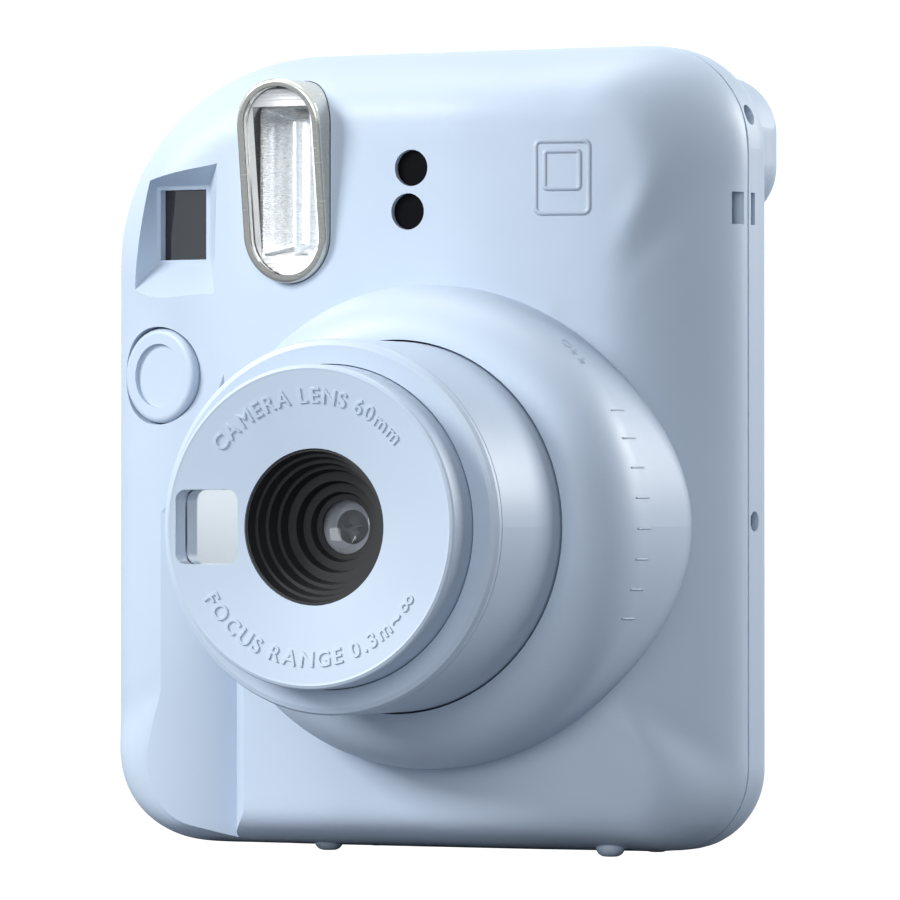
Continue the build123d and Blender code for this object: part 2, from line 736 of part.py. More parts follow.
def gear(teeth, centre_y, centre_z, bore, phase):
    """A small spur gear turning about an axis along X."""
    pitch_radius = GEAR_MODULE * teeth / 2
    root = pitch_radius - 1.15 * GEAR_MODULE
    tip = pitch_radius + 0.9 * GEAR_MODULE
    points = []
    for tooth in range(teeth):
        middle = phase + 2 * pi * tooth / teeth
        for radius, share in ((root, -0.36), (tip, -0.13), (tip, 0.13), (root, 0.36)):
            angle = middle + 2 * pi * share / teeth
            points.append((centre_y + radius * cos(angle), centre_z + radius * sin(angle)))
    face = Plane.YZ.offset(GEAR_X) * make_face(Polyline(*points, close=True))
    wheel = extrude(face, amount=GEAR_WIDTH)
    return wheel - rod((GEAR_X - 1, centre_y, centre_z), (1, 0, 0), bore, GEAR_WIDTH + 2)


def gear_step(start, direction, teeth_a, teeth_b):
    """The centre of the next gear of a train, which meshes with the last one."""
    reach = GEAR_MODULE * (teeth_a + teeth_b) / 2
    angle = radians(direction)
    return start[0] + reach * cos(angle), start[1] + reach * sin(angle)


ROLLER_CENTRE = (FILM_Y + ROLLER_RADIUS + ROLLER_GAP / 2, ROLLER_Z)
IDLER_CENTRE = gear_step(ROLLER_CENTRE, IDLER_DIRECTION, ROLLER_TEETH, IDLER_TEETH)
PINION_CENTRE = gear_step(IDLER_CENTRE, PINION_DIRECTION, IDLER_TEETH, PINION_TEETH)


def meshing_phase(direction, teeth):
    """The phase that puts a gap, not a tooth, on the line to the gear before."""
    return radians(direction) + pi + pi / teeth


def gear_train():
    """Write the three gears of the film drive, in mesh at rest."""
    roller_phase = radians(IDLER_DIRECTION)
    idler_phase = meshing_phase(IDLER_DIRECTION, IDLER_TEETH)
    to_pinion = (radians(PINION_DIRECTION) - idler_phase) * IDLER_TEETH / (2 * pi)
    pinion_phase = radians(PINION_DIRECTION) + pi - (0.5 - (to_pinion % 1.0)) * 2 * pi / PINION_TEETH
    write("roller_gear", gear(ROLLER_TEETH, *ROLLER_CENTRE, 1.2, roller_phase))
    write("idler_gear", gear(IDLER_TEETH, *IDLER_CENTRE, 0.8 + PIN_CLEARANCE, idler_phase))
    write("motor_pinion", gear(PINION_TEETH, *PINION_CENTRE, 0.5, pinion_phase))


def motor():
    """The flat-sided film motor with its shaft."""
    y, z = PINION_CENTRE
    can = rod((16.5, y, z), (1, 0, 0), 6.0, 21) & block(0, 60, y - 4.5, y + 4.5, z - 8, z + 8)
    boss = rod((37.5, y, z), (1, 0, 0), 2.0, 1.0)
    return can + boss + rod((38.5, y, z), (1, 0, 0), 0.5, GEAR_X + GEAR_WIDTH - 38.0)


def gear_post():
    """The fixed post that the idler gear turns on."""
    y, z = IDLER_CENTRE
    plate = block(40.4, 41.4, y - 3.5, 18.8, z - 6.5, z + 1.0)
    return plate + rod((41.3, y, z), (1, 0, 0), 0.8, 3.0)


def ejection_claw():
    """The plate beside the pack whose hook pushes the exposed film up into the rollers."""
    plate = block(42.3, 43.3, 23.9, 27.1, 11.5, 36.0)
    return plate + block(40.9, 42.4, 24.2, 26.8, 11.5, 13.0)


# ---------------------------------------------------------------- power, flash and electronics


def battery(x, y):
    """One AA cell with its positive button."""
    can = rod((x, y, BATTERY_LOW), (0, 0, 1), BATTERY_RADIUS, BATTERY_LENGTH - 1)
    return can + rod((x, y, BATTERY_LOW + BATTERY_LENGTH - 1), (0, 0, 1), 2.7, 1)


def battery_box():
    """The cradle that holds the two cells side by side."""
    cradle = None
    for x, y in BATTERY_PLACES:
        cell = rod((x, y, BATTERY_LOW - 2.2), (0, 0, 1), BATTERY_RADIUS + 1.0, 55.2)
        cradle = cell if cradle is None else cradle + cell
    cradle &= block(-42.5, -22.0, 10.6, 33.0, 0, 80)
    for x, y in BATTERY_PLACES:
        cradle -= rod((x, y, BATTERY_LOW - 1.2), (0, 0, 1), BATTERY_RADIUS + 0.12, 53.2)
    return cradle


def battery_contacts():
    """Contact plates at both ends of the cells."""
    plates = None
    for x, y in BATTERY_PLACES:
        low = rod((x + 1.5, y - 1.5, BATTERY_LOW - 1.1), (0, 0, 1), 3.0, 0.9)
        high = rod((x + 1.5, y - 1.5, BATTERY_LOW + BATTERY_LENGTH + 0.2), (0, 0, 1), 3.0, 0.9)
        plates = low + high if plates is None else plates + low + high
    return plates


def flash_slab(front, back):
    """The space between two depths behind the flash's tilted front, which stands proudest at its top."""
    slab = Pos(0, (front + back) / 2, 0) * Box(2 * FLASH_WIDTH, back - front, 2 * FLASH_HEIGHT)
    return Pos(FLASH_X, FLASH_FRONT, FLASH_Z) * Rot(FLASH_TILT, 0, 0) * slab


def flash_bezel():
    """The plated frame round the flash, which stands proud of the body."""
    place = Pos(FLASH_X, FLASH_Z)
    outer = prism(place * stadium(FLASH_WIDTH - 0.2, FLASH_HEIGHT - 0.2), -10, 9.5) & flash_slab(0, 20)
    outer = fillet(outer.faces().sort_by(Axis.Y)[0].edges(), 0.6)
    opening = prism(place * stadium(FLASH_WIDTH - 2.6, FLASH_HEIGHT - 2.6), -10, 10)
    return outer - opening


def flash_lens():
    """The clear cover in the flash bezel."""
    plate = Pos(FLASH_X, FLASH_Z) * stadium(FLASH_WIDTH - 2.7, FLASH_HEIGHT - 2.7)
    return prism(plate, -10, 10) & flash_slab(0.35, 1.6)


def flash_reflector():
    """The bright trough behind the flash tube."""
    mouth = Pos(FLASH_X, FLASH_Z) * RectangleRounded(10.4, 23.4, 1.2)
    floor = Pos(FLASH_X, FLASH_Z) * RectangleRounded(6.0, 21.0, 1.2)
    outer = loft([Plane.XZ.offset(-1.2) * mouth, Plane.XZ.offset(-7.6) * floor])
    mouth_inside = Pos(FLASH_X, FLASH_Z) * RectangleRounded(9.6, 22.6, 0.8)
    floor_inside = Pos(FLASH_X, FLASH_Z) * RectangleRounded(5.0, 20.0, 0.8)
    inner = loft([Plane.XZ.offset(-1.1) * mouth_inside, Plane.XZ.offset(-6.8) * floor_inside])
    return outer - inner


def flash_tube():
    """The xenon tube, standing upright in the reflector."""
    return rod((FLASH_X, 4.6, FLASH_Z - 9.4), (0, 0, 1), 1.3, 18.8)


def flash_board():
    """The flash circuit board behind the reflector."""
    board = block(-23.5, -6.5, 11.0, 12.2, 87.0, 113.0)
    coil = rod((-15, 12.2, 92), (0, 1, 0), 3.0, 3.6)
    return board + coil


def main_board():
    """The main circuit board above the lens."""
    return block(-19.0, 15.5, 16.4, 17.6, 86.5, 103.0)


def board_parts():
    """The larger components on the main board."""
    chip = block(-2, 7, 14.9, 16.4, 91, 100)
    driver = block(9, 13, 15.2, 16.4, 95, 100)
    crystal = block(9, 14, 15.4, 16.4, 89, 91.5)
    return chip + driver + crystal


def sensor_windows():
    """The two dark windows of the light sensors."""
    windows = None
    for x, height in SENSOR_PLACES:
        disc = prism(Pos(x, height) * Circle(SENSOR_RADIUS - 0.05), 0.9, 2.1)
        windows = disc if windows is None else windows + disc
    return windows


def finder_tube():
    """The straight tube of the optical finder."""
    place = Pos(FINDER_X, FINDER_Z)
    tube_body = prism(place * RectangleRounded(10.4, 13.2, 1.0), FINDER_Y + 3.2, 33.0)
    return tube_body - prism(place * Rectangle(8.4, 11.2), FINDER_Y, 40)


def finder_window():
    """The front lens of the finder."""
    return prism(Pos(FINDER_X, FINDER_Z) * Rectangle(9.6, 12.4), FINDER_Y + 1.7, FINDER_Y + 3.1)


def eyepiece_bezel():
    """The frame round the eyepiece, standing out of the back."""
    place = Pos(FINDER_X, FINDER_Z)
    frame = prism(place * RectangleRounded(12.0, 12.6, 2.0), 33.2, HUMP_Y - 1.0)
    frame = fillet(frame.faces().sort_by(Axis.Y)[-1].edges(), 0.8)
    return frame - prism(place * RectangleRounded(8.4, 9.0, 1.5), 30, 45)


def eyepiece_lens():
    """The rear lens of the finder."""
    return prism(Pos(FINDER_X, FINDER_Z) * RectangleRounded(8.3, 8.9, 1.4), 37.6, 38.8)


# ---------------------------------------------------------------- controls, counter and fasteners


def shutter_button():
    """The round shutter button: a raised rim round a shallow dish, on a short stem."""
    body = extrude(button_plane() * Circle(BUTTON_RADIUS), amount=-2.6)
    body = fillet(body.edges().sort_by(Axis.Y)[:1], 0.9)
    dish = extrude(button_plane().offset(0.01) * Circle(BUTTON_RADIUS - 2.4), amount=-0.7)
    stem = extrude(button_plane().offset(-2.5) * Circle(1.6), amount=-4.0)
    return body - dish + stem


def button_spring():
    """The return spring round the button's stem, drawn at its pressed length."""
    inward = Plane(origin=button_plane().offset(-7.4).origin, z_dir=-button_plane().z_dir)
    return coil_spring(inward, 2.6, 0.4, 2.4, 3)


def button_switch():
    """The two-stage switch under the button, on its own small board."""
    rim = button_plane()
    board = extrude(rim.offset(-10.1) * Rectangle(10.6, 12), amount=-1.2)
    switch = extrude(rim.offset(-8.4) * Circle(1.5), amount=-1.8)
    return board + switch


def counter_dial():
    """The disc that shows how many prints are left."""
    disc = rod((-38.5, 31.4, 76), (0, 1, 0), 5.4, 0.8)
    hub = rod((-38.5, 29.0, 76), (0, 1, 0), 1.2, 2.5)
    return disc + hub


def counter_window():
    """The clear window over the film counter."""
    return rod((-38.5, 33.6, 76), (0, 1, 0), 3.15, 1.6)


def side_screw(height, lug_end):
    """A self-tapping side screw with a cross recess, its head against the lug."""
    shank = rod((44.6, SCREW_Y, height), (1, 0, 0), 0.85, lug_end - 44.5)
    head = rod((lug_end + 0.05, SCREW_Y, height), (1, 0, 0), 1.45, 1.1)
    cross = Box(1.2, 0.4, 1.9) + Box(1.2, 1.9, 0.4)
    return shank + head - Pos(lug_end + 1.15, SCREW_Y, height) * cross


def shell_screws():
    """All side screws of the two shells."""
    return side_screw(*SIDE_SCREWS[0]) + side_screw(*SIDE_SCREWS[1])


def write_camera():
    """Write every piece of the camera."""
    skin = rear_solid(0) - rear_solid(WALL)
    write("front_shell", front_shell())
    write("rear_shell", rear_shell(skin))
    write("battery_cover", battery_cover(skin))
    write("film_door", film_door(skin))
    gear_train()
    write("drive_roller", roller(ROLLER_CENTRE[0], GEAR_X + GEAR_WIDTH + 0.3))
    write("pinch_roller", roller(FILM_Y - ROLLER_RADIUS - ROLLER_GAP / 2, 41.9))
    write("front_lens", lens_element(-29.0, -26.9, 4.5, 0.7))
    write("rear_lens", lens_element(-25.0, -22.6, 5.1, 0.6))
    write("aperture_plate", tube(4.5, 2.36, -26.8, -26.4))
    write("door_hinge_pin", rod((HINGE_X, HINGE_Y, 12.5), (0, 0, 1), HINGE_PIN, 75))
    write("flash_capacitor", rod((8, 11.6, 111), (1, 0, 0), 4.2, 25))
    pieces = (
        barrel_guide, stage_sleeve, ring_bezel, ring_sleeve, inner_barrel, barrel_face, selfie_mirror,
        lens_baffle, lens_cell, shutter_plate, shutter_blade, shutter_solenoid, light_tunnel,
        film_chamber, light_seal, film_window, pressure_pads, door_latch, latch_spring,
        roller_frame, motor, gear_post, ejection_claw, battery_box, battery_contacts, flash_bezel,
        flash_lens, flash_reflector, flash_tube, flash_board, main_board, board_parts, sensor_windows,
        finder_tube, finder_window, eyepiece_bezel, eyepiece_lens, shutter_button, button_spring,
        button_switch, counter_dial, counter_window, shell_screws,
    )
    for piece in pieces:
        write(piece.__name__, piece())
    cells = battery(*BATTERY_PLACES[0]) + battery(*BATTERY_PLACES[1])
    write("batteries", cells)


write_camera()
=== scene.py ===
"""Looks for the compact instant camera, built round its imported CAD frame."""
import json
import math

import bmesh
import bpy
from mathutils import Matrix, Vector


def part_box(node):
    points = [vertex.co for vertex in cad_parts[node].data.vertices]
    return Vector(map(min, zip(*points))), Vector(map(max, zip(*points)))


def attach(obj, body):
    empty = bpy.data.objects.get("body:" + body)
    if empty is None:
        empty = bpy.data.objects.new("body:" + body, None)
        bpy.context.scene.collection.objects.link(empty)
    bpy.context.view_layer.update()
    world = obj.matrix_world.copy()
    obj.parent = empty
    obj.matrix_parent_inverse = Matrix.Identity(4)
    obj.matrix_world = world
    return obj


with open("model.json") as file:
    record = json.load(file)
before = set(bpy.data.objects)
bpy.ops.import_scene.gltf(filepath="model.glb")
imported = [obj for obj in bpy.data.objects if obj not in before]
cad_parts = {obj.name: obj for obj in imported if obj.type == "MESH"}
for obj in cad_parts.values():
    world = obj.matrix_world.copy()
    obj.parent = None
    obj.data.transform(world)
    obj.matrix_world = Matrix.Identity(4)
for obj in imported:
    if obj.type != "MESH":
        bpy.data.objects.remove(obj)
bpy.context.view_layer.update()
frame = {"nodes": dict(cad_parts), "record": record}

MM = 0.001


def corners(node):
    """Lowest and highest corner of a CAD node, as vectors."""
    low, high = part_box(node)
    return Vector(low), Vector(high)


def middle(node):
    """Centre of a CAD node's box."""
    low, high = corners(node)
    return (low + high) / 2


# The barrel's face: a flat rim round a shallow dish, with the lens bore in the middle
FACE_LOW, FACE_HIGH = corners("barrel_face")
FACE_Y = FACE_LOW.y
FACE_RADIUS = (FACE_HIGH.x - FACE_LOW.x) / 2
FACE_RIM = 0.9 * MM
FACE_DISH = 1.9 * MM
LENS_BORE = 11.5 * MM
LENS_CENTRE = Vector((middle("barrel_face").x, 0, middle("barrel_face").z))

# The lens drum: a cylinder whose shoulder is a quarter of an ellipse, running in to the ring
DRUM_RADIUS = 36.5 * MM
SHOULDER_RADIUS = 28.0 * MM
SHOULDER_Y = -3.5 * MM
SHOULDER_DEPTH = 10.5 * MM

# The flash cover's middle, and the angle it leans back by
FLASH_FRONT_Y = -2.5 * MM
FLASH_TILT = math.radians(7.7)

# The front face curves back beyond this place, by this much per metre squared
CROWN_START_X = 0.012
CROWN = 7.54


# ---------------------------------------------------------------- materials


class Nodes:
    """A small helper that builds one material's node tree."""

    def __init__(self, name):
        self.material = bpy.data.materials.new(name)
        self.material.use_nodes = True
        self.tree = self.material.node_tree
        self.shader = self.tree.nodes["Principled BSDF"]
        self.place = self.add("ShaderNodeTexCoord").outputs["Object"]

    def add(self, kind, **settings):
        """Add a node and set its properties."""
        node = self.tree.nodes.new(kind)
        for key, value in settings.items():
            setattr(node, key, value)
        return node

    def link(self, source, target):
        """Join an output to an input."""
        self.tree.links.new(source, target)

    def set(self, **values):
        """Set shader sockets that are the same all over."""
        for key, value in values.items():
            self.shader.inputs[key.replace("_", " ")].default_value = value

    def noise(self, scale, detail=4.0, rough=0.5, stretch=None):
        """A noise texture in the object's own space."""
        texture = self.add("ShaderNodeTexNoise")
        texture.inputs["Scale"].default_value = scale
        texture.inputs["Detail"].default_value = detail
        texture.inputs["Roughness"].default_value = rough
        if stretch:
            mapping = self.add("ShaderNodeMapping")
            mapping.inputs["Scale"].default_value = stretch
            self.link(self.place, mapping.inputs["Vector"])
            self.link(mapping.outputs["Vector"], texture.inputs["Vector"])
        else:
            self.link(self.place, texture.inputs["Vector"])
        return texture.outputs["Fac"]

    def ramp(self, source, stops):
        """A colour ramp with (position, colour) stops."""
        ramp = self.add("ShaderNodeValToRGB")
        elements = ramp.color_ramp.elements
        while len(elements) < len(stops):
            elements.new(0.5)
        for element, (position, colour) in zip(elements, stops):
            element.position = position
            element.color = (*colour, 1)
        self.link(source, ramp.inputs["Fac"])
        return ramp.outputs["Color"]

    def spread(self, source, low, high):
        """Turn a 0 to 1 value into a range."""
        mapped = self.add("ShaderNodeMapRange")
        mapped.inputs["To Min"].default_value = low
        mapped.inputs["To Max"].default_value = high
        self.link(source, mapped.inputs["Value"])
        return mapped.outputs["Result"]

    def bump(self, source, strength, distance):
        """Fine relief on the surface normal."""
        bump = self.add("ShaderNodeBump")
        bump.inputs["Strength"].default_value = strength
        bump.inputs["Distance"].default_value = distance
        self.link(source, bump.inputs["Height"])
        self.link(bump.outputs["Normal"], self.shader.inputs["Normal"])


def shade(colour, factor):
    """A colour made lighter or darker."""
    return tuple(min(1.0, channel * factor) for channel in colour)


def moulded(name, colour, roughness=0.42, grain=5400, relief=0.12, coat=0.0, gloss=0.42):
    """Moulded plastic: slight colour drift, fine spark-eroded grain."""
    drift_scale = 38.0
    polish_scale = 420.0
    nodes = Nodes(name)
    drift = nodes.noise(drift_scale, 3.0)
    nodes.link(
        nodes.ramp(drift, [(0.3, shade(colour, 0.965)), (0.7, shade(colour, 1.02))]),
        nodes.shader.inputs["Base Color"],
    )
    polish = nodes.noise(polish_scale, 5.0)
    nodes.link(nodes.spread(polish, roughness - 0.05, roughness + 0.06), nodes.shader.inputs["Roughness"])
    nodes.bump(nodes.noise(grain, 2.0), relief, 0.03 * MM)
    nodes.set(Coat_Weight=coat, Specular_IOR_Level=gloss)
    return nodes.material


def metal(name, colour, roughness=0.28, stretch=(1, 1, 30), relief=0.1):
    """Plated or bare metal with a faint drawn grain."""
    grain_scale = 900.0
    nodes = Nodes(name)
    grain = nodes.noise(grain_scale, 6.0, 0.6, stretch)
    nodes.link(
        nodes.ramp(grain, [(0.25, shade(colour, 0.86)), (0.75, shade(colour, 1.08))]),
        nodes.shader.inputs["Base Color"],
    )
    nodes.link(nodes.spread(grain, roughness - 0.06, roughness + 0.08), nodes.shader.inputs["Roughness"])
    nodes.bump(grain, relief, 0.02 * MM)
    nodes.set(Metallic=1.0)
    return nodes.material


def clear(name, tint, roughness=0.03, ior=1.49):
    """Clear moulded plastic or glass with faint flow marks."""
    flow_scale = 60.0
    nodes = Nodes(name)
    flow = nodes.noise(flow_scale, 3.0)
    nodes.link(
        nodes.ramp(flow, [(0.2, shade(tint, 0.97)), (0.8, tint)]), nodes.shader.inputs["Base Color"]
    )
    nodes.link(nodes.spread(flow, roughness, roughness + 0.02), nodes.shader.inputs["Roughness"])
    nodes.shader.inputs["Transmission Weight"].default_value = 1.0
    nodes.shader.inputs["IOR"].default_value = ior
    light_through = nodes.add("ShaderNodeBsdfTransparent")
    mixed = nodes.add("ShaderNodeMixShader")
    nodes.link(nodes.add("ShaderNodeLightPath").outputs["Is Shadow Ray"], mixed.inputs["Fac"])
    nodes.link(nodes.shader.outputs["BSDF"], mixed.inputs[1])
    nodes.link(light_through.outputs["BSDF"], mixed.inputs[2])
    nodes.link(mixed.outputs["Shader"], nodes.tree.nodes["Material Output"].inputs["Surface"])
    return nodes.material


BLUE = (0.49, 0.58, 0.70)
COARSE_GRAIN = 1800
MATERIALS = {
    "body_blue": moulded("body_blue_plastic", BLUE, 0.44),
    "ring_blue": moulded("ring_blue_plastic", shade(BLUE, 0.99), 0.40),
    "black_plastic": moulded("matt_black_plastic", (0.012, 0.012, 0.013), 0.5),
    "dark_window": moulded("smoked_window", (0.006, 0.006, 0.008), 0.06, relief=0.0, coat=1.0),
    "mirror": metal("mirror_coating", (0.96, 0.965, 0.97), 0.1, stretch=(0.05, 0.05, 0.05), relief=0.0),
    "nickel": metal("champagne_nickel", (0.62, 0.60, 0.54), 0.24, stretch=(1, 1, 8), relief=0.05),
    "clear": clear("clear_moulding", (0.97, 0.98, 1.0)),
    "reflector": metal("bright_reflector", (0.86, 0.86, 0.85), 0.26, stretch=(1, 1, 12), relief=0.35),
    "steel": metal("bare_steel", (0.55, 0.55, 0.57), 0.32),
    "spring_steel": metal("spring_wire", (0.5, 0.5, 0.52), 0.3),
    "grey_plastic": moulded("grey_plastic", (0.16, 0.17, 0.19), 0.45),
    "gear_white": moulded("white_acetal", (0.78, 0.78, 0.74), 0.4),
    "foam": moulded("black_foam", (0.015, 0.015, 0.015), 0.85, grain=COARSE_GRAIN, relief=0.6),
    "board": moulded("green_board", (0.02, 0.16, 0.06), 0.35, grain=COARSE_GRAIN, relief=0.2),
    "cell": moulded("battery_wrap", (0.05, 0.05, 0.06), 0.3),
    "can": moulded("sleeved_can", (0.03, 0.03, 0.05), 0.3),
    "rubber": moulded("roller_rubber", (0.03, 0.03, 0.03), 0.7, grain=COARSE_GRAIN, relief=0.4),
    "dial": moulded("dial_white", (0.8, 0.8, 0.77), 0.4),
    "sensor_black": moulded("sensor_black", (0.002, 0.002, 0.003), 0.4, relief=0.0, gloss=0.05),
    "print_blue": moulded("print_blue", shade(BLUE, 0.84), 0.4),
    "insert": moulded("pale_ribbed_moulding", (0.70, 0.70, 0.68), 0.2, relief=0.05),
    "mark_blue": moulded("mark_blue_plastic", shade(BLUE, 0.8), 0.42),
}


def dress_cad_nodes():
    """Give every CAD node the detailed material of its slot."""
    for part in frame["record"]["subparts"]:
        node = frame["nodes"][part["node"]]
        node.data.materials.clear()
        chosen = "sensor_black" if part["node"] == "sensor_windows" else part["material_slot"]
        node.data.materials.append(MATERIALS[chosen])


# ---------------------------------------------------------------- small mesh tools


def piece(name, mesh_or_curve, material, body):
    """Put a new piece in the scene on its body."""
    made = bpy.data.objects.new(name, mesh_or_curve)
    bpy.context.collection.objects.link(made)
    mesh_or_curve.materials.append(MATERIALS[material])
    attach(made, body)
    return made


def finish_mesh(name, shape):
    """Turn a bmesh into mesh data with smooth faces."""
    bmesh.ops.recalc_face_normals(shape, faces=shape.faces)
    data = bpy.data.meshes.new(name)
    shape.to_mesh(data)
    shape.free()
    for polygon in data.polygons:
        polygon.use_smooth = True
    return data


def join_rows(shape, rows):
    """Join neighbouring rows of vertices, all equally long, with four-sided faces."""
    for first, second in zip(rows, rows[1:]):
        for index in range(len(first) - 1):
            shape.faces.new((first[index], first[index + 1], second[index + 1], second[index]))


# ---------------------------------------------------------------- lettering and index lines


CAPITAL_SHARE = 0.72    # a capital's height as a share of the font's size
WORD_SPACE = 0.42       # a space between words as a share of a capital's height
LETTER_BEVEL = 0.05 * MM
LETTER_SINK = 0.08 * MM


def letter_mesh(letter, height, thickness):
    """One letter as a flat mesh, standing on x = 0 and rising along y."""
    curve = bpy.data.curves.new("letter", "FONT")
    curve.body = letter
    curve.size = height / CAPITAL_SHARE
    curve.extrude = thickness
    curve.bevel_depth = LETTER_BEVEL
    curve.bevel_resolution = 1
    curve.resolution_u = 6
    holder = bpy.data.objects.new("letter", curve)
    bpy.context.collection.objects.link(holder)
    bpy.context.view_layer.update()
    data = bpy.data.meshes.new_from_object(holder)
    bpy.data.objects.remove(holder)
    bpy.data.curves.remove(curve)
    return data


def letter_width(data):
    """How far a letter's mesh reaches from x = 0."""
    return max(vertex.co.x for vertex in data.vertices)


def add_letter(shape, letter, height, thickness, place):
    """Add one letter to a bmesh, each vertex moved by place(x, y, z)."""
    data = letter_mesh(letter, height, thickness)
    width = letter_width(data)
    for vertex in data.vertices:
        vertex.co = place(vertex.co.x - width / 2, vertex.co.y - height / 2, vertex.co.z)
    shape.from_mesh(data)
    bpy.data.meshes.remove(data)


def letter_places(words, height, gap):
    """Where the middle of each letter stands along a line, about the line's middle."""
    places = []
    reach = 0.0
    for letter in words:
        if letter == " ":
            reach += WORD_SPACE * height
            continue
        data = letter_mesh(letter, height, 0.1 * MM)
        width = letter_width(data)
        bpy.data.meshes.remove(data)
        places.append((letter, reach + width / 2))
        reach += width + gap
    half = (reach - gap) / 2
    return [(letter, along - half) for letter, along in places]


def round_lens(radius, depth, angle):
    """A point at a radius and angle round the lens axis, at a depth along it."""
    return LENS_CENTRE + Vector((radius * math.cos(angle), depth, radius * math.sin(angle)))


def face_depth(radius):
    """Depth of the dished barrel face at a distance from the lens axis, where its letters are rooted."""
    dish_radius = FACE_RADIUS - FACE_RIM
    slope = FACE_DISH / (dish_radius - LENS_BORE)
    return FACE_Y + LETTER_SINK + slope * (dish_radius - radius)


def face_lettering():
    """The focal length above the lens and the focus range below it, raised on the barrel face."""
    radius = 19.3 * MM
    height = 2.3 * MM
    relief = 0.2 * MM
    # Each line's words, the angle of its middle, whether its letters stand outwards, and their gap
    lines = (
        ("CAMERA LENS 60mm", 92.0, 1, 0.42 * MM),
        ("FOCUS RANGE 0.3m~\u221e", 270.0, -1, 0.5 * MM),
    )
    shape = bmesh.new()
    for words, middle_angle, outwards, gap in lines:
        for letter, along in letter_places(words, height, gap):
            angle = math.radians(middle_angle) - outwards * along / radius

            def place(x, y, z):
                distance = radius + outwards * y
                return round_lens(distance, face_depth(distance) - z, angle - outwards * x / radius)

            add_letter(shape, letter, height, relief, place)
    mesh = finish_mesh("face_lettering", shape)
    return piece("face_lettering", mesh, "ring_blue", "lens_barrel")


def shoulder_point(angle, depth, proud):
    """A point on the drum's side at an angle round the lens axis and a depth."""
    radius = DRUM_RADIUS
    if depth < SHOULDER_Y:
        rise = (SHOULDER_Y - depth) / SHOULDER_DEPTH
        run = (DRUM_RADIUS - SHOULDER_RADIUS) * math.sqrt(max(0.0, 1 - rise * rise))
        radius = SHOULDER_RADIUS + run
    return round_lens(radius + proud, depth, angle)


def drum_ticks():
    """Eight short index lines along the side of the drum."""
    first_angle = 28.4
    pitch = 7.2
    front = -5.6 * MM
    length = 4.2 * MM
    steps = 8
    half_width = 0.16 * MM
    # The line's section: how far across it each point lies, and how far proud of the drum
    section = ((-1, -0.1 * MM), (-0.8, 0.07 * MM), (0.8, 0.07 * MM), (1, -0.1 * MM))
    shape = bmesh.new()
    for count in range(8):
        angle = math.radians(first_angle - pitch * count)
        rows = []
        for step in range(steps + 1):
            depth = front + length * step / steps
            row = []
            for side, proud in section:
                turn = angle + side * half_width / DRUM_RADIUS
                row.append(shape.verts.new(shoulder_point(turn, depth, proud)))
            rows.append(row)
        join_rows(shape, rows)
        shape.faces.new(rows[0])
        shape.faces.new(rows[-1])
    return piece("drum_ticks", finish_mesh("drum_ticks", shape), "mark_blue", "root")


def off_mark():
    """The word OFF on the drum's shoulder."""
    first_angle = 48.6
    pitch = 2.9
    depth = -4.6 * MM
    height = 1.9 * MM
    relief = 0.06 * MM
    sink = 0.02 * MM
    shape = bmesh.new()
    for count, letter in enumerate("OFF"):
        angle = math.radians(first_angle - pitch * count)

        def place(x, y, z):
            return shoulder_point(angle - x / DRUM_RADIUS, depth - y, z - sink)

        add_letter(shape, letter, height, relief, place)
    return piece("off_mark", finish_mesh("off_mark", shape), "mark_blue", "root")


# ---------------------------------------------------------------- flash, print mark and counter figures


def flash_insert():
    """The pale moulding behind the flash cover: ribbed ends and plain sides round the reflector."""
    low, high = corners("flash_lens")
    centre = middle("flash_lens")
    reflector_low, reflector_high = corners("flash_reflector")
    gap = 0.05 * MM
    half_width = (high.x - low.x) / 2 - gap
    half_height = (high.z - low.z) / 2 - gap
    straight = half_height - half_width
    set_back = 2.1 * MM
    deepest = reflector_low.y + 0.9 * MM
    rib_pitch = 0.62 * MM
    rib_rise = 0.16 * MM
    lap = 0.3 * MM
    rows = 140
    columns = 8
    shape = bmesh.new()

    def depth_at(height):
        depth = FLASH_FRONT_Y + set_back - math.tan(FLASH_TILT) * (height - centre.z)
        if abs(height - centre.z) <= reflector_high.z - centre.z:
            return depth
        return min(depth + rib_rise * math.sin(2 * math.pi * height / rib_pitch), deepest)

    def reach(height):
        over = max(0.0, abs(height - centre.z) - straight)
        return math.sqrt(max(0.0, half_width**2 - over**2))

    def strip(edges):
        lines = []
        for height, left, right in edges:
            line = []
            for column in range(columns + 1):
                x = left + (right - left) * column / columns
                line.append(shape.verts.new((x, depth_at(height), height)))
            lines.append(line)
        join_rows(shape, lines)

    heights = [centre.z - half_height + 2 * half_height * (row + 0.02) / rows for row in range(rows)]
    bottom = [z for z in heights if z < reflector_low.z + lap]
    top = [z for z in heights if z > reflector_high.z - lap]
    between = [z for z in heights if reflector_low.z - lap < z < reflector_high.z + lap]
    for ends in (bottom, top):
        strip([(z, centre.x - reach(z), centre.x + reach(z)) for z in ends])
    strip([(z, centre.x - reach(z), reflector_low.x + lap) for z in between])
    strip([(z, reflector_high.x - lap, centre.x + reach(z)) for z in between])
    return piece("flash_insert", finish_mesh("flash_insert", shape), "insert", "root")


def front_depth(x):
    """Depth of the crowned front face on the far side of the lens."""
    return CROWN * max(0.0, x - CROWN_START_X) ** 2


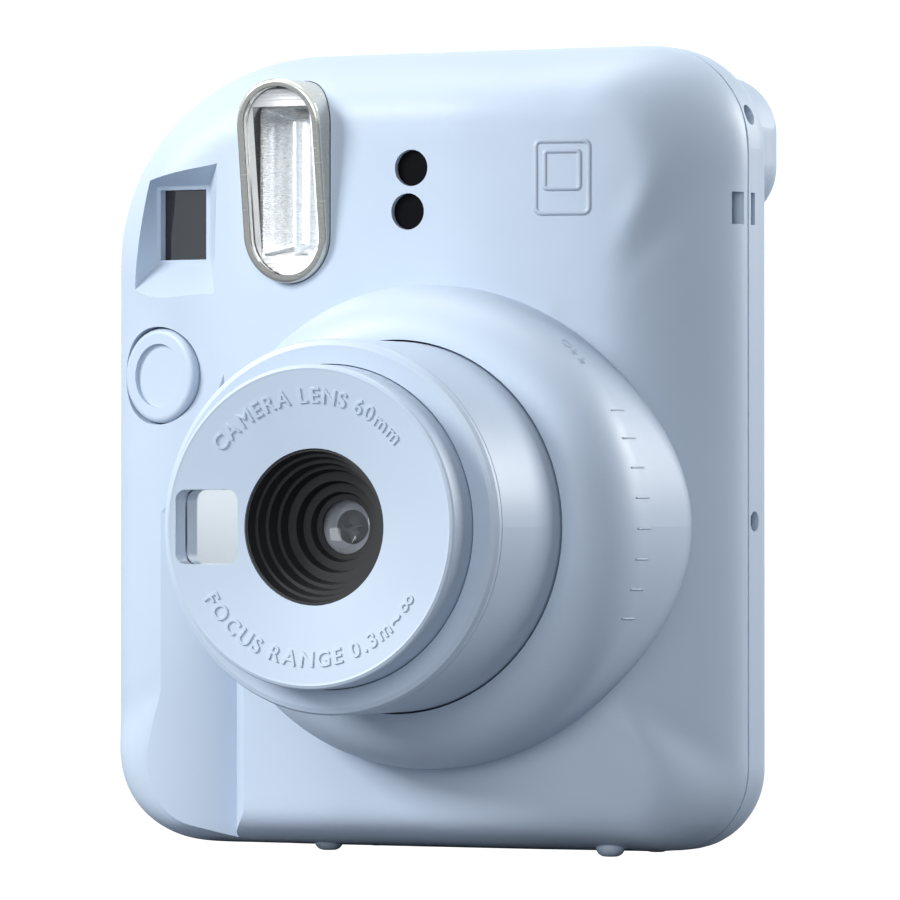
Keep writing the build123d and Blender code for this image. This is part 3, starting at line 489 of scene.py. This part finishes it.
def rounded_loop(width, height, radius):
    """Points round a rounded rectangle about the origin, close enough to follow a curved face."""
    corner_steps = 6
    straight_parts = 12
    points = []
    for quarter in range(4):
        side_x = (width / 2 - radius) * (1 if quarter in (0, 3) else -1)
        side_z = (height / 2 - radius) * (1 if quarter in (0, 1) else -1)
        for step in range(corner_steps + 1):
            angle = math.radians(90 * (quarter + step / corner_steps))
            points.append((side_x + radius * math.cos(angle), side_z + radius * math.sin(angle)))
    spaced = []
    for (x, z), (next_x, next_z) in zip(points, points[1:] + points[:1]):
        parts = straight_parts if abs(next_x - x) > MM else 1
        for step in range(parts):
            spaced.append((x + (next_x - x) * step / parts, z + (next_z - z) * step / parts))
    return spaced


def print_mark():
    """A plain outline of a print, in a deeper blue, where such a camera carries its name."""
    centre_x = 30.5 * MM
    centre_z = 102.4 * MM
    line = 0.75 * MM
    smallest_radius = 0.1 * MM
    proud = 0.05 * MM
    root = -0.15 * MM
    # Each outline's width, height, corner radius and lift above the mark's centre
    outlines = ((8.6 * MM, 11.6 * MM, 1.2 * MM, 0.0), (5.9 * MM, 6.4 * MM, 0.8 * MM, 1.1 * MM))
    shape = bmesh.new()
    for width, height, radius, lift in outlines:
        outer = rounded_loop(width, height, radius)
        inner = rounded_loop(width - 2 * line, height - 2 * line, max(radius - line, smallest_radius))
        rings = []
        for loop, rise in ((outer, root), (outer, proud), (inner, proud), (inner, root)):
            ring = []
            for x, z in loop:
                depth = front_depth(centre_x + x) - rise
                ring.append(shape.verts.new((centre_x + x, depth, centre_z + z + lift)))
            rings.append(ring + ring[:1])
        join_rows(shape, rings)
    return piece("print_mark", finish_mesh("print_mark", shape), "print_blue", "root")


def counter_figures():
    """The even numbers up to ten round the film counter's dial."""
    face_y = corners("counter_dial")[1].y
    centre = middle("counter_dial")
    radius = 3.9 * MM
    height = 1.5 * MM
    digit_pitch = 1.0 * MM
    relief = 0.03 * MM
    proud = 0.01 * MM
    shape = bmesh.new()
    for count in range(6):
        turn = math.radians(-60.0 * count)
        figures = str(2 * count)
        for order, digit in enumerate(figures):
            shift = (order - (len(figures) - 1) / 2) * digit_pitch

            def place(x, y, z):
                across = (x + shift) * math.cos(turn) - (radius + y) * math.sin(turn)
                rise = (x + shift) * math.sin(turn) + (radius + y) * math.cos(turn)
                return Vector((centre.x - across, face_y + z + proud, centre.z + rise))

            add_letter(shape, digit, height, relief, place)
    mesh = finish_mesh("counter_figures", shape)
    return piece("counter_figures", mesh, "black_plastic", "counter")


# ---------------------------------------------------------------- camera, floor and light


def camera():
    """The viewing camera: a long lens, a little to the camera's far side and almost level."""
    azimuth = math.radians(26.7)
    distance = 1.05
    eye_height = 0.0506
    target = Vector((0.013, 0.0, 0.0614))
    eye = Vector((target.x + distance * math.sin(azimuth), -distance * math.cos(azimuth), eye_height))
    data = bpy.data.cameras.new("camera")
    data.lens = 278
    data.sensor_width = 36
    data.clip_start = 0.05
    data.clip_end = 20
    made = bpy.data.objects.new("camera", data)
    made.location = eye
    made.rotation_euler = (target - eye).to_track_quat("-Z", "Y").to_euler()
    bpy.context.collection.objects.link(made)
    bpy.context.scene.camera = made


def area_light(name, place, aim_height, size, power):
    """A square soft box that faces a point above the origin."""
    data = bpy.data.lights.new(name, "AREA")
    data.shape = "RECTANGLE"
    data.size = size
    data.size_y = size
    data.energy = power
    made = bpy.data.objects.new(name, data)
    made.location = place
    made.rotation_euler = (Vector((0, 0, aim_height)) - Vector(place)).to_track_quat("-Z", "Y").to_euler()
    bpy.context.collection.objects.link(made)


def surroundings():
    """White to the camera, bright in reflections, and a weak bluish fill otherwise."""
    fill = 0.09
    seen = 1.3
    reflected = 1.2
    world = bpy.data.worlds.new("world")
    world.use_nodes = True
    tree = world.node_tree
    background = tree.nodes["Background"]
    background.inputs["Color"].default_value = (0.84, 0.93, 1, 1)
    paths = tree.nodes.new("ShaderNodeLightPath")
    direct = tree.nodes.new("ShaderNodeMath")
    direct.operation = "MULTIPLY_ADD"
    direct.inputs[1].default_value = seen - fill
    direct.inputs[2].default_value = fill
    mirrored = tree.nodes.new("ShaderNodeMath")
    mirrored.operation = "MULTIPLY_ADD"
    mirrored.inputs[1].default_value = reflected - fill
    tree.links.new(paths.outputs["Is Camera Ray"], direct.inputs[0])
    tree.links.new(paths.outputs["Is Glossy Ray"], mirrored.inputs[0])
    tree.links.new(direct.outputs["Value"], mirrored.inputs[2])
    tree.links.new(mirrored.outputs["Value"], background.inputs["Strength"])
    bpy.context.scene.world = world


def white_floor():
    """A plain pale floor that runs out into the white background."""
    shape = bmesh.new()
    bmesh.ops.create_grid(shape, x_segments=2, y_segments=2, size=6)
    data = bpy.data.meshes.new("floor")
    shape.to_mesh(data)
    shape.free()
    floor = bpy.data.objects.new("floor", data)
    bpy.context.collection.objects.link(floor)
    nodes = Nodes("floor_white")
    nodes.link(
        nodes.ramp(nodes.noise(2.0), [(0.3, (0.19, 0.21, 0.24)), (0.7, (0.21, 0.23, 0.26))]),
        nodes.shader.inputs["Base Color"],
    )
    nodes.set(Roughness=0.9)
    glow = nodes.add("ShaderNodeEmission")
    glow.inputs["Strength"].default_value = 1.1
    mixed = nodes.add("ShaderNodeMixShader")
    nodes.link(nodes.add("ShaderNodeLightPath").outputs["Is Camera Ray"], mixed.inputs["Fac"])
    nodes.link(nodes.shader.outputs["BSDF"], mixed.inputs[1])
    nodes.link(glow.outputs["Emission"], mixed.inputs[2])
    nodes.link(mixed.outputs["Shader"], nodes.tree.nodes["Material Output"].inputs["Surface"])
    data.materials.append(nodes.material)


def studio():
    """Pale floor, pale surroundings and soft boxes, brightest from the upper left."""
    white_floor()
    surroundings()
    area_light("key", (-0.9, -0.85, 0.75), 0.07, 0.5, 21)
    area_light("front", (0.3, -1.3, 0.45), 0.06, 0.7, 7.5)
    area_light("top", (-0.05, 0.1, 0.95), 0.07, 0.6, 4)
    area_light("rim", (0.65, 0.75, 0.4), 0.07, 0.4, 8)
    bpy.context.scene.view_settings.view_transform = "Standard"


dress_cad_nodes()
camera()
studio()
face_lettering()
drum_ticks()
off_mark()
flash_insert()
print_mark()
counter_figures()
